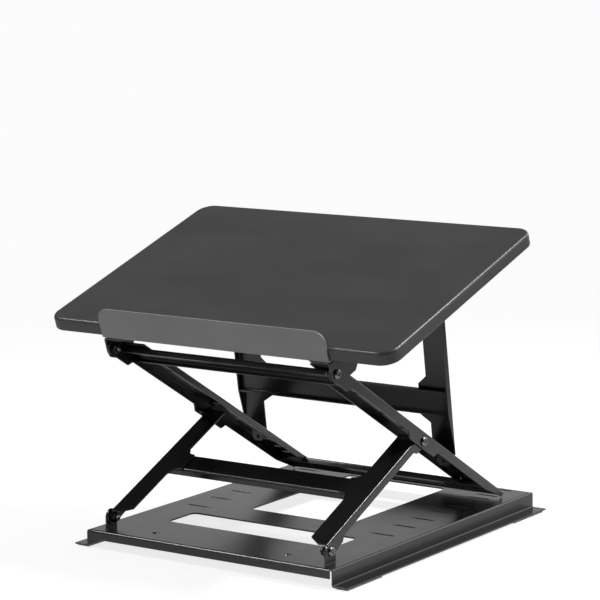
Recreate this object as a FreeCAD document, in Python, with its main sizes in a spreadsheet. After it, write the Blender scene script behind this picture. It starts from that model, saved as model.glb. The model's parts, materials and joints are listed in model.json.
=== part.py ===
import FreeCAD
import Part
import math
import os
from FreeCAD import Placement, Rotation, Vector

# Folding sheet-steel riser for a notebook computer, standing on a desk.
# +X is to the right, +Y to the back, +Z up. The origin is the centre of the
# bounding box at desk level. All lengths are in millimetres.

doc = FreeCAD.newDocument("riser")

# ---------------------------------------------------------------- dimensions
DIMS = [
    ("sheet_t", 1.5, "thickness of the bent steel sheet"),
    ("lug_t", 2.0, "thickness of lugs and hinge plates"),
    ("bend_r", 1.6, "bend radius at the middle of the sheet"),
    ("base_width", 274.0, "base plate between its side webs"),
    ("base_depth", 354.0, "base plate front to back"),
    ("base_height", 17.5, "top of the base plate above the desk"),
    ("foot_flange", 14.5, "outward foot flange"),
    ("front_flange", 8.8, "depth of the front and rear flanges"),
    ("pad_t", 1.5, "rubber pad thickness"),
    ("pad_length", 55.0, "rubber pad length"),
    ("pad_width", 13.0, "rubber pad width"),
    ("arm_length", 171.0, "pivot to pivot, half of a long leg"),
    ("front_angle", 24.4, "front leg above horizontal"),
    ("long_angle", 30.4, "long leg below horizontal"),
    ("tray_angle", 18.0, "tray tilt"),
    ("tray_width", 378.0, "tray side to side"),
    ("tray_depth", 262.0, "tray front to back"),
    ("tray_t", 13.0, "tray thickness"),
    ("tray_corner", 16.0, "tray corner radius"),
    ("tray_edge", 3.0, "rounding of the tray's top edge"),
    ("lip_width", 250.0, "front lip side to side"),
    ("lip_rise", 15.6, "front lip above the tray top"),
    ("lip_corner", 11.0, "front lip corner radius"),
    ("bolt_r", 2.5, "pivot bolt shank"),
    ("hole_r", 2.55, "pivot hole"),
    ("head_r", 4.6, "pivot bolt head"),
    ("head_h", 2.7, "pivot bolt head height"),
    ("nut_flats", 8.0, "nut across flats"),
    ("nut_h", 4.6, "nut height with flange"),
    ("slot_long", 22.0, "height slot length"),
    ("slot_wide", 3.0, "height slot width"),
    ("tilt_slot_long", 17.0, "tilt slot length"),
    ("tilt_slot_wide", 3.6, "tilt slot width"),
]
sheet = doc.addObject("Spreadsheet::Sheet", "Dims")
D = {}
for row, (alias, value, note) in enumerate(DIMS, start=1):
    sheet.set("A%d" % row, alias)
    sheet.set("B%d" % row, str(value))
    sheet.set("C%d" % row, note)
    sheet.setAlias("B%d" % row, alias)
    D[alias] = value
doc.recompute()

SHEET = D["sheet_t"]
HALF_DEPTH = D["base_depth"] / 2.0
HALF_BASE = D["base_width"] / 2.0
TOP = D["base_height"]

# Distances of the sheet-metal planes from the middle, common to both sides.
LEG_OUT = 122.7          # outer face of the long legs
LEG_IN = 91.0            # inner face of the long legs
FRONT_OUT = 121.0        # outer face of the front legs
FRONT_IN = 99.3          # inner edge of the front legs
LUG_IN = 121.3           # inner face of the base lugs
PLATE_IN = 123.0         # inner face of the tray's front hinge plates
PROP_OUT = 121.4         # outer face of the rear support
PROP_IN = 95.0           # inner edge of the rear support
EAR_IN = 121.7           # inner face of the rear hinge plates

# Heights above the pivot line of a long leg (n) and of a front leg.
LEG_TOP = 8.9
LEG_LOW = -0.9
LEG_BOSS = -6.5
INNER_LOW = 2.2
FACE_TOP = 7.0
FACE_LOW = -1.5

# Rows of slots: the height slots from the front edge of the base plate, the
# tilt slots from the upper pivot of a long leg. They close up towards the
# flat settings, where a small move of the foot changes the angle more.
SLOT_ROWS = (131, 168, 201, 235, 262, 285, 304, 318, 332, 346)
TILT_ROWS = (72, 121, 160, 202, 236, 258, 280, 296)
SLOT_X = 106.0           # middle of the height slots
TAB_X = 107.5            # middle of the tilt slots and of the tabs in them
TAB_ROW = 235.4          # where the support stands on the long legs

GAP = 0.2                # coat between sheets that lie on each other
REACH = 22.0             # height from which cuts in the base plate start
PIVOT_GAP = 0.1          # washer face to sheet at the pivots
STRIP_HOLE = 2.1         # countersunk holes in the base's front strip
SINK = 1.3               # depth of those countersinks
SCREW_HOLE = 1.75        # clearance holes of the tray screws
PILOT_HOLE = 1.55        # their pilot holes in the board
SCREW_R = 1.5
SCREW_HEAD_R = 3.2
SCREW_HEAD_H = 1.9
SCREW_DEPTH = 7.0        # length of a tray screw inside the board
FLANGE_R = 5.0           # nut flange


# ---------------------------------------------------------------- kinematics
def turn(angle):
    """Placement rotation about X by an angle in degrees."""
    return Rotation(Vector(1, 0, 0), angle)


def along(angle, dist, up=0.0):
    """Vector in the YZ plane: dist along a line at angle, up across it."""
    a = math.radians(angle)
    return Vector(0, dist * math.cos(a) - up * math.sin(a), dist * math.sin(a) + up * math.cos(a))


LUG_BACK = 18.0          # lug pivot behind the front edge of the base
LUG_HIGH = 28.0          # lug pivot above the desk
HINGE_IN = 6.5           # tray pivot behind the front edge of the board
HINGE_DROP = 29.0        # tray pivot under the board's top
LUG_AXIS = Vector(0, LUG_BACK - HALF_DEPTH, LUG_HIGH)
CROSS_AXIS = LUG_AXIS + along(D["front_angle"], D["arm_length"])
TRAY_AXIS = CROSS_AXIS - along(-D["long_angle"], D["arm_length"])
TRAY_ORIGIN = TRAY_AXIS + along(D["tray_angle"], -HINGE_IN, HINGE_DROP)
PROP_BACK = 195.5        # support pivot behind the front edge of the board
PROP_DROP = -20.0        # and its height from the board's top
PROP_AXIS = TRAY_ORIGIN + along(D["tray_angle"], PROP_BACK, PROP_DROP)
WEB_BACK = 3.5           # support web behind its hinge axis
FOOT_POINT = TRAY_AXIS + along(-D["long_angle"], TAB_ROW, LEG_TOP)
rise = PROP_AXIS - FOOT_POINT
PROP_LENGTH = math.sqrt(rise.y ** 2 + rise.z ** 2 - WEB_BACK ** 2)
PROP_ANGLE = math.degrees(math.atan2(-rise.y, rise.z) - math.atan2(WEB_BACK, PROP_LENGTH))

BASE_PLACE = Placement(Vector(0, -HALF_DEPTH, 0), Rotation())
FRONT_PLACE = Placement(LUG_AXIS, turn(D["front_angle"]))
LONG_PLACE = Placement(TRAY_AXIS, turn(-D["long_angle"]))
TRAY_PLACE = Placement(TRAY_ORIGIN, turn(D["tray_angle"]))
PROP_PLACE = Placement(PROP_AXIS, turn(PROP_ANGLE))


# ---------------------------------------------------------------- 2D helpers
def v2(x, y):
    return Vector(x, y, 0)


def rounded(points, radii):
    """Closed outline of straight runs, with an arc of its own radius at each corner."""
    count = len(points)
    if not isinstance(radii, (list, tuple)):
        radii = [radii] * count
    starts = []
    ends = []
    middles = []
    for i in range(count):
        here = v2(*points[i])
        before = (v2(*points[i - 1]) - here).normalize()
        after = (v2(*points[(i + 1) % count]) - here).normalize()
        radius = radii[i]
        if radius <= 0:
            starts.append(here)
            ends.append(here)
            middles.append(None)
            continue
        half = before.getAngle(after) / 2.0
        reach = radius / math.tan(half)
        bisector = (before + after).normalize()
        centre = here + bisector * (radius / math.sin(half))
        starts.append(here + before * reach)
        ends.append(here + after * reach)
        middles.append(centre - bisector * radius)
    edges = []
    for i in range(count):
        if middles[i] is not None:
            edges.append(Part.Arc(starts[i], middles[i], ends[i]))
        target = starts[(i + 1) % count]
        if (target - ends[i]).Length > 1e-6:
            edges.append(Part.LineSegment(ends[i], target))
    return edges


def circle(x, y, radius):
    return [Part.Circle(v2(x, y), Vector(0, 0, 1), radius)]


def rectangle(x0, y0, x1, y1, radius=0.0):
    return rounded([(x0, y0), (x1, y0), (x1, y1), (x0, y1)], radius)


def slot(x, y, length, width):
    """Round-ended slot along the sketch's X axis, centred at x, y."""
    return rectangle(x - length / 2, y - width / 2, x + length / 2, y + width / 2, width / 2 - 0.01)


def strip(path, thick, bend):
    """Outline of a bent sheet that follows a path, rounded at every bend."""
    half = thick / 2.0
    left = []
    right = []
    turns = []
    count = len(path)
    for i in range(count):
        here = v2(*path[i])
        if i == 0:
            ahead = (v2(*path[1]) - here).normalize()
            normal = Vector(-ahead.y, ahead.x, 0)
            shift = 1.0
            turns.append(0)
        elif i == count - 1:
            ahead = (here - v2(*path[i - 1])).normalize()
            normal = Vector(-ahead.y, ahead.x, 0)
            shift = 1.0
            turns.append(0)
        else:
            first = (here - v2(*path[i - 1])).normalize()
            second = (v2(*path[i + 1]) - here).normalize()
            normal = (Vector(-first.y, first.x, 0) + Vector(-second.y, second.x, 0)).normalize()
            shift = 1.0 / math.cos(first.getAngle(second) / 2.0)
            turns.append(1 if first.x * second.y - first.y * second.x > 0 else -1)
        left.append(here + normal * half * shift)
        right.append(here - normal * half * shift)
    points = [(p.x, p.y) for p in left] + [(p.x, p.y) for p in reversed(right)]
    inner = bend - half
    outer = bend + half
    radii = [0 if k == 0 else (inner if k > 0 else outer) for k in turns]
    radii += [0 if k == 0 else (outer if k > 0 else inner) for k in reversed(turns)]
    return rounded(points, radii)


def mirrored(points, side):
    return [(side * x, y) for x, y in points]


# ------------------------------------------------------------ feature helpers
def new_body(label, place):
    body = doc.addObject("PartDesign::Body", label)
    body.Label = label
    body.Placement = place
    return body


def sketch(body, name, role, offset, loops):
    """Sketch on one of the body's own origin planes, moved along its normal."""
    plane = [f for f in body.Origin.OriginFeatures if f.Role == role][0]
    sk = body.newObject("Sketcher::SketchObject", name)
    sk.AttachmentSupport = [(plane, "")]
    sk.MapMode = "FlatFace"
    sk.AttachmentOffset = Placement(Vector(0, 0, offset), Rotation())
    for loop in loops:
        sk.addGeometry(loop, False)
    doc.recompute()
    return sk


def pad(body, name, role, offset, loops, length, alias=None, back=False):
    """Pad along the plane's normal, or against it when back is set."""
    feature = body.newObject("PartDesign::Pad", name)
    feature.Profile = sketch(body, name + "_sketch", role, offset, loops)
    feature.Length = length
    feature.Reversed = back
    if alias:
        feature.setExpression("Length", "Dims." + alias)
    body.Tip = feature
    doc.recompute()
    return feature


def cut(body, name, role, offset, loops, length):
    """Pocket from the plane against its normal; it has to take material away."""
    before = body.Shape.Volume
    feature = body.newObject("PartDesign::Pocket", name)
    feature.Profile = sketch(body, name + "_sketch", role, offset, loops)
    feature.Length = length
    body.Tip = feature
    doc.recompute()
    if body.Shape.Volume > before - 0.5:
        raise RuntimeError(name + " removes nothing")
    return feature


def cut_side(body, name, side, loops, outer, inner):
    """Pocket across one side of the riser, from x = outer in to x = inner."""
    start = outer if side > 0 else -inner
    return cut(body, name, "YZ_Plane", start, loops, outer - inner)


def fillet(body, name, radius, chosen, alias=None):
    """Round the edges of the tip that the chosen test accepts."""
    tip = body.Tip
    names = ["Edge%d" % (i + 1) for i, e in enumerate(tip.Shape.Edges) if chosen(e)]
    if not names:
        raise RuntimeError(name + " finds no edge")
    feature = body.newObject("PartDesign::Fillet", name)
    feature.Base = (tip, names)
    feature.Radius = radius
    if alias:
        feature.setExpression("Radius", "Dims." + alias)
    body.Tip = feature
    doc.recompute()
    return feature


def side_name(stem, side):
    return stem + ("_right" if side > 0 else "_left")


# ---------------------------------------------------------------- base plate
def make_base():
    body = new_body("base_plate", BASE_PLACE)
    mid = TOP - SHEET / 2
    low = D["pad_t"] + SHEET / 2
    web = HALF_BASE - SHEET / 2
    tip = HALF_BASE + D["foot_flange"]
    path = [(-tip, low), (-web, low), (-web, mid), (web, mid), (web, low), (tip, low)]
    section = strip(path, SHEET, D["bend_r"])
    pad(body, "base_channel", "XZ_Plane", 0, [section], D["base_depth"], "base_depth", True)
    # The ends of the top are cut back so that the end flanges can bend down
    # without touching the side webs.
    inner = HALF_BASE - 2 * SHEET
    reach = 3.4
    ends = [
        rectangle(-inner - 0.8, -1, inner + 0.8, reach),
        rectangle(-inner - 0.8, D["base_depth"] - reach, inner + 0.8, D["base_depth"] + 1),
    ]
    cut(body, "end_reliefs", "XY_Plane", REACH, ends, 10)
    drop = TOP - D["front_flange"]
    flange = 2 * (inner - 0.8)
    front = [(reach + 2, mid), (SHEET / 2, mid), (SHEET / 2, drop)]
    rear = [(D["base_depth"] - y, z) for y, z in front]
    pad(body, "front_flange", "YZ_Plane", -flange / 2, [strip(front, SHEET, D["bend_r"])], flange)
    pad(body, "rear_flange", "YZ_Plane", -flange / 2, [strip(rear, SHEET, D["bend_r"])], flange)
    # Lugs for the front legs, with a round top and a hole for the pivot bolt.
    lug_y = LUG_AXIS.y + HALF_DEPTH
    half = 7.5
    for side in (1, -1):
        outline = rounded(
            [
                (lug_y - half, TOP - 1),
                (lug_y + half, TOP - 1),
                (lug_y + half, LUG_AXIS.z + half),
                (lug_y - half, LUG_AXIS.z + half),
            ],
            [0, 0, half - 0.01, half - 0.01],
        )
        hole = circle(lug_y, LUG_AXIS.z, D["hole_r"])
        start = LUG_IN if side > 0 else -LUG_IN
        pad(body, side_name("lug", side), "YZ_Plane", start, [outline, hole], D["lug_t"], "lug_t", side < 0)
    # Two windows, two rows of height slots and two small holes in the front strip.
    loops = [
        rectangle(-93, 66, 93, 107, 6),
        rectangle(-56.5, 148, 56.5, 322, 6),
    ]
    for side in (1, -1):
        loops.append(circle(side * 74, 22.4, STRIP_HOLE))
        for y in SLOT_ROWS:
            loops.append(slot(side * SLOT_X, y, D["slot_long"], D["slot_wide"]))
            loops.append(circle(side * 92.6, y, 1.0))
    cut(body, "windows_and_slots", "XY_Plane", REACH, loops, 10)
    # The two holes in the front strip are countersunk from above.
    tip = body.Tip
    mouths = []
    for i, edge in enumerate(tip.Shape.Edges):
        curve = edge.Curve
        if not isinstance(curve, Part.Circle):
            continue
        if abs(curve.Radius - STRIP_HOLE) < 1e-3 and curve.Center.z > TOP - 0.1:
            mouths.append("Edge%d" % (i + 1))
    if len(mouths) != 2:
        raise RuntimeError("countersinks find %d holes" % len(mouths))
    sink = body.newObject("PartDesign::Chamfer", "countersinks")
    sink.Base = (tip, mouths)
    sink.Size = SINK
    body.Tip = sink
    doc.recompute()
    return body


def make_pads():
    """Four rubber pads under the foot flanges, separate solids of one node."""
    boxes = []
    for i, side in enumerate((-1, 1)):
        for j, y in enumerate((3.0, D["base_depth"] - 5.0 - D["pad_length"])):
            box = doc.addObject("Part::Box", "pad_%d_%d" % (i, j))
            box.setExpression("Length", "Dims.pad_width")
            box.setExpression("Width", "Dims.pad_length")
            box.setExpression("Height", "Dims.pad_t")
            left = HALF_BASE + 0.8 if side > 0 else -HALF_BASE - 0.8 - D["pad_width"]
            box.Placement = Placement(Vector(left, y - HALF_DEPTH, 0), Rotation())
            boxes.append(box)
    group = doc.addObject("Part::Compound", "rubber_pads")
    group.Label = "rubber_pads"
    group.Links = boxes
    return group


# ---------------------------------------------------------------- front legs
def make_front_leg(side):
    body = new_body(side_name("front_leg", side), FRONT_PLACE)
    arm = D["arm_length"]
    # Top face and outer web bent from one sheet.
    face = FACE_TOP - SHEET / 2
    outer = FRONT_OUT - SHEET / 2
    path = mirrored([(FRONT_IN - 14, face), (outer, face), (outer, -8.5)], side)
    pad(body, "leg_angle", "XZ_Plane", 10, [strip(path, SHEET, 1.2)], arm + 20, None, True)
    # Plan of the face: a chamfered foot and an ear where the crossbar joins.
    inner = FRONT_IN
    ear = inner - 10.7
    waste = [
        (inner - 30, -30), (130, -30), (130, 0), (inner + 12, 0), (inner, 8), (inner, 64),
        (inner - 3.6, 73.5), (ear, 74.5), (ear, 97.5), (inner - 4.3, 98.5), (inner, 106),
        (inner, arm - 2), (119.3, arm - 2), (119.3, arm + 30), (inner - 30, arm + 30),
    ]
    radii = [0, 0, 0, 1.5, 1.5, 2, 1.5, 0.6, 0.6, 1.5, 2, 1, 0, 0, 0]
    loops = [rounded(mirrored(waste, side), radii)]
    # The foot of the web stays, so the plan is cut only down to the face's underside.
    cut(body, "face_plan", "XY_Plane", 12, loops, 12 - face + SHEET / 2 + 0.9)
    # Side view of the web: a deep boss round each pivot and a shallow web between.
    low = FACE_LOW
    boss = -5.8
    reach = 6.6
    profile = [
        (-60, -60), (arm + 60, -60), (arm + 60, 40), (arm - 0.5, 40), (arm - 0.5, reach),
        (arm + reach, reach), (arm + reach, -reach), (arm - 12, boss), (arm - 17, low), (27, low),
        (22, boss), (6, -7.2), (-7.2, -7.2), (-7.2, 40), (-60, 40),
    ]
    radii = [0, 0, 0, 0, 0, 6.4, 6.4, 1, 1.5, 1.5, 1, 2, 7.0, 0, 0]
    cut_side(body, "web_profile", side, [rounded(profile, radii)], 140, 100)
    holes = [circle(0, 0, D["hole_r"]), circle(arm, 0, D["hole_r"])]
    cut_side(body, "pivot_holes", side, holes, 140, 100)
    return body


def make_front_crossbar():
    """Channel under the ears of both front legs."""
    body = new_body("front_crossbar", FRONT_PLACE)
    top = FACE_TOP - SHEET - GAP - SHEET / 2
    path = [(98.0, -2.0), (98.0, top), (76.0, top), (76.0, -2.3)]
    half = 118.0
    pad(body, "channel", "YZ_Plane", -half, [strip(path, SHEET, D["bend_r"])], 2 * half)
    return body


# ---------------------------------------------------------------- long legs
def make_long_leg(side):
    body = new_body(side_name("long_leg", side), LONG_PLACE)
    end = 334.1
    mid = LEG_TOP - SHEET / 2
    outer = LEG_OUT - SHEET / 2
    inner = LEG_IN + SHEET / 2
    path = mirrored([(inner, INNER_LOW), (inner, mid), (outer, mid), (outer, LEG_BOSS - 2)], side)
    pad(body, "channel", "XZ_Plane", 12, [strip(path, SHEET, 1.2)], end + 20, None, True)
    # Side view of the outer web, with bosses round the upper and the middle pivot.
    mid_pivot = D["arm_length"]
    profile = [
        (-60, -60), (400, -60), (400, 60), (end, 60), (end, LEG_TOP), (337, 3.9), (302, LEG_LOW),
        (mid_pivot + 29.5, LEG_LOW), (mid_pivot + 24, LEG_BOSS), (mid_pivot - 24, LEG_BOSS),
        (mid_pivot - 29, LEG_LOW), (32.5, LEG_LOW), (27, -6.3), (-8.4, -6.3), (-8.4, 60), (-60, 60),
    ]
    radii = [0, 0, 0, 0, 0, 0.6, 4, 1.2, 1.2, 1.2, 1.2, 1.2, 1.2, 6.5, 0, 0]
    cut_side(body, "web_profile", side, [rounded(profile, radii)], 140, 80)
    corner = rounded([(-20, 3), (-8.4, 3), (-2.4, LEG_TOP), (-2.4, 20), (-20, 20)], 0.0)
    cut_side(body, "top_corner", side, [corner], 140, 80)
    # The inner web and the flange stop short of the ends, where the crossbars pass.
    low = -20
    ends = [rectangle(-20, low, 42, LEG_TOP - SHEET), rectangle(302.5, low, 400, LEG_TOP - SHEET)]
    cut_side(body, "inner_web_ends", side, ends, 100, 80)
    flange_end = rectangle(-20, LEG_TOP - 3.2, 4, 20)
    cut_side(body, "flange_end", side, [flange_end], 120.9, 80)
    # Tilt slots with a small round hole beside each.
    loops = []
    for y in TILT_ROWS:
        loops.append(slot(side * TAB_X, y, D["tilt_slot_long"], D["tilt_slot_wide"]))
        loops.append(circle(side * 96.6, y, 0.9))
    cut(body, "tilt_slots", "XY_Plane", 20, loops, 20)
    holes = [circle(0, 0, D["hole_r"]), circle(mid_pivot, 0, D["hole_r"])]
    cut_side(body, "pivot_holes", side, holes, 140, 110)
    return body


def make_long_crossbar(label, start, rear_low):
    """Channel that lies under the flanges of both long legs."""
    body = new_body(label, LONG_PLACE)
    top = LEG_TOP - SHEET - GAP - SHEET / 2
    front = start + SHEET / 2
    rear = start + 28 - SHEET / 2
    path = [(rear, rear_low), (rear, top), (front, top), (front, 1.2)]
    half = 120.9
    pad(body, "channel", "YZ_Plane", -half, [strip(path, SHEET, 1.2)], 2 * half)
    return body


def make_tilt_tabs():
    """Drilled tab ends that hang in the tilt slots, one in each long leg."""
    parts = []
    for i, side in enumerate((-1, 1)):
        body = new_body("tab_%d" % i, Placement(FOOT_POINT, turn(PROP_ANGLE)))
        middle = side * TAB_X
        outline = rounded(
            [
                (middle - 6.9, 0), (middle + 6.9, 0), (middle + 6.9, -7.5),
                (middle + 4.4, -11.0), (middle - 4.4, -11.0), (middle - 6.9, -7.5),
            ],
            [0, 0, 1.5, 1.5, 1.5, 1.5],
        )
        hole = circle(middle, -6.6, 1.7)
        pad(body, "tab_plate", "XZ_Plane", SHEET / 2, [outline, hole], SHEET, "sheet_t", True)
        parts.append(body)
    group = doc.addObject("Part::Compound", "tilt_tabs")
    group.Label = "tilt_tabs"
    group.Links = parts
    return group


# ---------------------------------------------------------------- tray
def make_tray():
    body = new_body("tray_board", TRAY_PLACE)
    half = D["tray_width"] / 2
    outline = rectangle(-half, 0, half, D["tray_depth"], D["tray_corner"])
    pad(body, "board", "XY_Plane", 0, [outline], D["tray_t"], "tray_t", True)
    low = -D["tray_t"]

    def at_height(z):
        return lambda e: abs(e.BoundBox.ZMin - z) < 1e-3 and e.BoundBox.ZLength < 1e-3

    fillet(body, "top_edge", D["tray_edge"], at_height(0), "tray_edge")
    fillet(body, "low_edge", 1.5, at_height(low))
    # Pilot holes for the bracket screws and the lip screws.
    loops = [circle(x, y, PILOT_HOLE) for x, y in SCREW_POINTS]
    before = body.Shape.Volume
    feature = body.newObject("PartDesign::Pocket", "pilot_holes")
    feature.Profile = sketch(body, "pilot_sketch", "XY_Plane", low, loops)
    feature.Length = 8
    feature.Reversed = True
    body.Tip = feature
    doc.recompute()
    if body.Shape.Volume > before - 0.5:
        raise RuntimeError("pilot holes remove nothing")
    return body


def make_lip():
    body = new_body("tray_lip", TRAY_PLACE)
    half = D["lip_width"] / 2
    under = -D["tray_t"] - GAP - SHEET / 2
    front = -GAP - SHEET / 2
    path = [(20, under), (front, under), (front, D["lip_rise"])]
    pad(body, "lip_angle", "YZ_Plane", -half, [strip(path, SHEET, D["bend_r"])], 2 * half, "lip_width")
    clear = 60
    radii = [0, D["lip_corner"], 0, 0, 0, 0]
    for side in (1, -1):
        edge = side * half
        outline = [
            (edge - side * 40, D["lip_rise"]), (edge, D["lip_rise"]), (edge, -30),
            (edge + side * clear, -30), (edge + side * clear, clear), (edge - side * 40, clear),
        ]
        cut(body, side_name("corner", side), "XZ_Plane", 6, [rounded(outline, radii)], 6.1)
    screws = [circle(x, y, SCREW_HOLE) for x, y in SCREW_POINTS if y < 15]
    cut(body, "screw_holes", "XY_Plane", 5, screws, 40)
    return body


def make_front_bracket(side):
    """Hinge plate of the tray with a flange under the board."""
    body = new_body(side_name("front_bracket", side), TRAY_PLACE)
    under = -D["tray_t"] - GAP - SHEET - GAP
    thick = D["lug_t"]
    plate = PLATE_IN + thick / 2
    path = mirrored([(plate - 29, under - thick / 2), (plate, under - thick / 2), (plate, -42)], side)
    pad(body, "angle", "XZ_Plane", 0.5, [strip(path, thick, 1.8)], 56, None, True)
    profile = [
        (-30, -60), (90, -60), (90, 10), (55.4, 10), (55.4, under - 5), (40.5, -34.5), (34.5, -39.6),
        (7.5, -39.6), (1.6, -35.8), (-0.5, -29.4), (-0.5, 10), (-30, 10),
    ]
    radii = [0, 0, 0, 0, 3, 2, 2, 4, 2, 2, 0, 0]
    cut_side(body, "plate_profile", side, [rounded(profile, radii)], 140, 60)
    axis = circle(HINGE_IN, -HINGE_DROP, D["hole_r"])
    cut_side(body, "pivot_hole", side, [axis], 140, 110)
    waste = [(85, -5), (112, -5), (100, 3), (97, 8), (97, 48), (100, 52), (112, 60), (85, 60)]
    plan = rounded(mirrored(waste, side), 0.0)
    cut(body, "flange_plan", "XY_Plane", 0, [plan], 20)
    screws = [circle(x, y, SCREW_HOLE) for x, y in SCREW_POINTS if 15 < y < 100 and x * side > 0]
    cut(body, "screw_holes", "XY_Plane", 0, screws, 20)
    return body


def make_rear_bracket(side):
    """Hinge plate for the rear support, with a flange under the board."""
    body = new_body(side_name("rear_bracket", side), TRAY_PLACE)
    thick = SHEET
    under = -D["tray_t"] - GAP - thick / 2
    plate = EAR_IN + thick / 2
    path = mirrored([(plate + 22, under), (plate, under), (plate, PROP_DROP - 7)], side)
    pad(body, "angle", "XZ_Plane", -(PROP_BACK - 14), [strip(path, thick, 1.4)], 28, None, True)
    y = PROP_BACK
    low = PROP_DROP - 6.5
    profile = [
        (y - 60, -60), (y + 60, -60), (y + 60, 10), (y + 14, 10), (y + 14, -16), (y + 6.4, low),
        (y - 6.4, low), (y - 14, -16), (y - 14, 10), (y - 60, 10),
    ]
    radii = [0, 0, 0, 0, 1, 6, 6, 1, 0, 0]
    cut_side(body, "plate_profile", side, [rounded(profile, radii)], 160, 90)
    cut_side(body, "pivot_hole", side, [circle(y, PROP_DROP, D["hole_r"])], 160, 90)
    screws = [circle(x, py, SCREW_HOLE) for x, py in SCREW_POINTS if py > 100 and x * side > 0]
    cut(body, "screw_holes", "XY_Plane", 0, screws, 20)
    return body


# ---------------------------------------------------------------- rear support
def make_prop(side):
    """Wide upright with a forward outer flange that tapers to the foot."""
    body = new_body(side_name("support_upright", side), PROP_PLACE)
    foot = -PROP_LENGTH + 1.2
    web = WEB_BACK
    front = -5.6
    outer = PROP_OUT - SHEET / 2
    path = mirrored([(PROP_IN - 12, web), (outer, web), (outer, front)], side)
    pad(body, "angle", "XY_Plane", foot, [strip(path, SHEET, 1.4)], 6.0 - foot)
    # Front view of the web: flared where the crossbar joins.
    inner = PROP_IN
    flare = PROP_IN - 9
    waste = [
        (inner - 30, foot - 10), (inner + 1.5, foot - 10), (inner + 1.5, -150), (flare, -143),
        (flare, -112), (inner, -104), (inner, -18), (inner + 8, -9), (119.8, -9), (119.8, 20),
        (inner - 30, 20),
    ]
    loops = [rounded(mirrored(waste, side), 0.0)]
    cut(body, "web_plan", "XZ_Plane", 0, loops, 12)
    # Side view of the outer flange.
    profile = [
        (-40, foot - 20), (2.7, foot - 20), (2.7, foot + 4), (-4.0, -138), (-4.0, -14),
        (front, -8), (front, 0), (front, 30), (-40, 30),
    ]
    cut_side(body, "flange_taper", side, [rounded(profile, 0.0)], 160, 60)
    ear = [(-30, 30), (-30, -1), (-5.5, -1), (-5.5, 5.5), (5.5, 5.5), (5.5, -1), (30, -1), (30, 30)]
    radii = [0, 0, 0, 5.4, 5.4, 0, 0, 0]
    cut_side(body, "ear_round", side, [rounded(ear, radii)], 160, 60)
    cut_side(body, "pivot_hole", side, [circle(0, 0, D["hole_r"])], 160, 60)
    return body


def make_prop_crossbar():
    body = new_body("support_crossbar", PROP_PLACE)
    back = WEB_BACK - SHEET / 2 - GAP - SHEET / 2
    front = -4.0
    path = [(front, -139.0), (back, -139.0), (back, -116.2), (front, -116.2)]
    half = 119.7
    pad(body, "channel", "YZ_Plane", -half, [strip(path, SHEET, 1.2)], 2 * half)
    return body


# ---------------------------------------------------------------- fasteners
def make_bolts(label, axis, outer_face, grip):
    """Pan-head pivot bolts, a mirrored pair of solids in one node."""
    solids = []
    for i, side in enumerate((-1, 1)):
        direction = Rotation(Vector(0, 0, 1), Vector(-side, 0, 0))
        body = new_body("%s_%d" % (label, i), Placement(axis + Vector(side * outer_face, 0, 0), direction))
        radius = D["head_r"]
        height = D["head_h"]
        shank = D["bolt_r"]
        profile = [
            Part.LineSegment(v2(0, -height), v2(radius * 0.45, -height)),
            Part.Arc(v2(radius * 0.45, -height), v2(radius * 0.86, -height * 0.74), v2(radius, -0.6)),
            Part.LineSegment(v2(radius, -0.6), v2(radius, 0)),
            Part.LineSegment(v2(radius, 0), v2(shank, 0)),
            Part.LineSegment(v2(shank, 0), v2(shank, grip - 0.5)),
            Part.LineSegment(v2(shank, grip - 0.5), v2(shank - 0.5, grip)),
            Part.LineSegment(v2(shank - 0.5, grip), v2(0, grip)),
            Part.LineSegment(v2(0, grip), v2(0, -height)),
        ]
        feature = body.newObject("PartDesign::Revolution", "turned_%s_%d" % (label, i))
        feature.Profile = sketch(body, "turned_sketch_%s_%d" % (label, i), "XZ_Plane", 0, [profile])
        feature.ReferenceAxis = (feature.Profile[0], ["V_Axis"])
        feature.Angle = 360
        body.Tip = feature
        doc.recompute()
        # Cross recess.
        arm = radius * 0.62
        wide = 0.55
        cross = rounded(
            [(-arm, -wide), (-wide, -wide), (-wide, -arm), (wide, -arm), (wide, -wide), (arm, -wide),
             (arm, wide), (wide, wide), (wide, arm), (-wide, arm), (-wide, wide), (-arm, wide)], 0.0)
        before = body.Shape.Volume
        recess = body.newObject("PartDesign::Pocket", "recess_%s_%d" % (label, i))
        recess.Profile = sketch(body, "recess_sketch_%s_%d" % (label, i), "XY_Plane", -height - 1, [cross])
        recess.Length = 2.3
        recess.Reversed = True
        body.Tip = recess
        doc.recompute()
        if body.Shape.Volume > before - 0.5:
            raise RuntimeError("recess removes nothing")
        solids.append(body)
    group = doc.addObject("Part::Compound", label)
    group.Label = label
    group.Links = solids
    return group


def make_nuts(label, axis, inner_face):
    """Hexagon flange nuts on the inner side, a mirrored pair in one node."""
    solids = []
    for i, side in enumerate((-1, 1)):
        direction = Rotation(Vector(0, 0, 1), Vector(-side, 0, 0))
        body = new_body("%s_%d" % (label, i), Placement(axis + Vector(side * inner_face, 0, 0), direction))
        bore = circle(0, 0, D["hole_r"])
        pad(body, "nut_flange_%s_%d" % (label, i), "XY_Plane", 0, [circle(0, 0, FLANGE_R), bore], 1.0)
        across = D["nut_flats"] / math.sqrt(3)
        corners = []
        for k in range(6):
            angle = math.radians(60 * k + 15)
            corners.append((across * math.cos(angle), across * math.sin(angle)))
        hexagon = [rounded(corners, 0.25), bore]
        pad(body, "nut_hex_%s_%d" % (label, i), "XY_Plane", 0, hexagon, D["nut_h"], "nut_h")
        solids.append(body)
    group = doc.addObject("Part::Compound", label)
    group.Label = label
    group.Links = solids
    return group


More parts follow.
